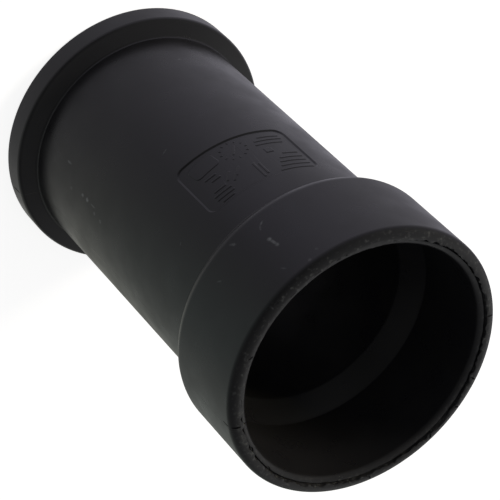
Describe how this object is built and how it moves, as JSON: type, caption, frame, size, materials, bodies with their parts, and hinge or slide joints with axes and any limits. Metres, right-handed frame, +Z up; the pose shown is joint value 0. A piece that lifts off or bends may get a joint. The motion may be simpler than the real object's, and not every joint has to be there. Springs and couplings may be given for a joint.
{
  "type": "abs soil pipe adapter",
  "caption": "Moulded black plastic drain adapter: a wide socket for plastic pipe, a straight barrel, and a flat collar that seats in an iron pipe's hub.",
  "frame": {"origin": "centre of the collar's flat end, on the surface that the adapter stands on", "axes": "+Z up the centre line, from the collar to the socket's mouth; -Y towards the side that the picture shows"},
  "size_m": [0.0698, 0.0698, 0.1175],
  "materials": {
    "black_abs": "satin"
  },
  "bodies": {
    "root": {"soil_pipe_adapter": "black_abs"}
  },
  "joints": []
}
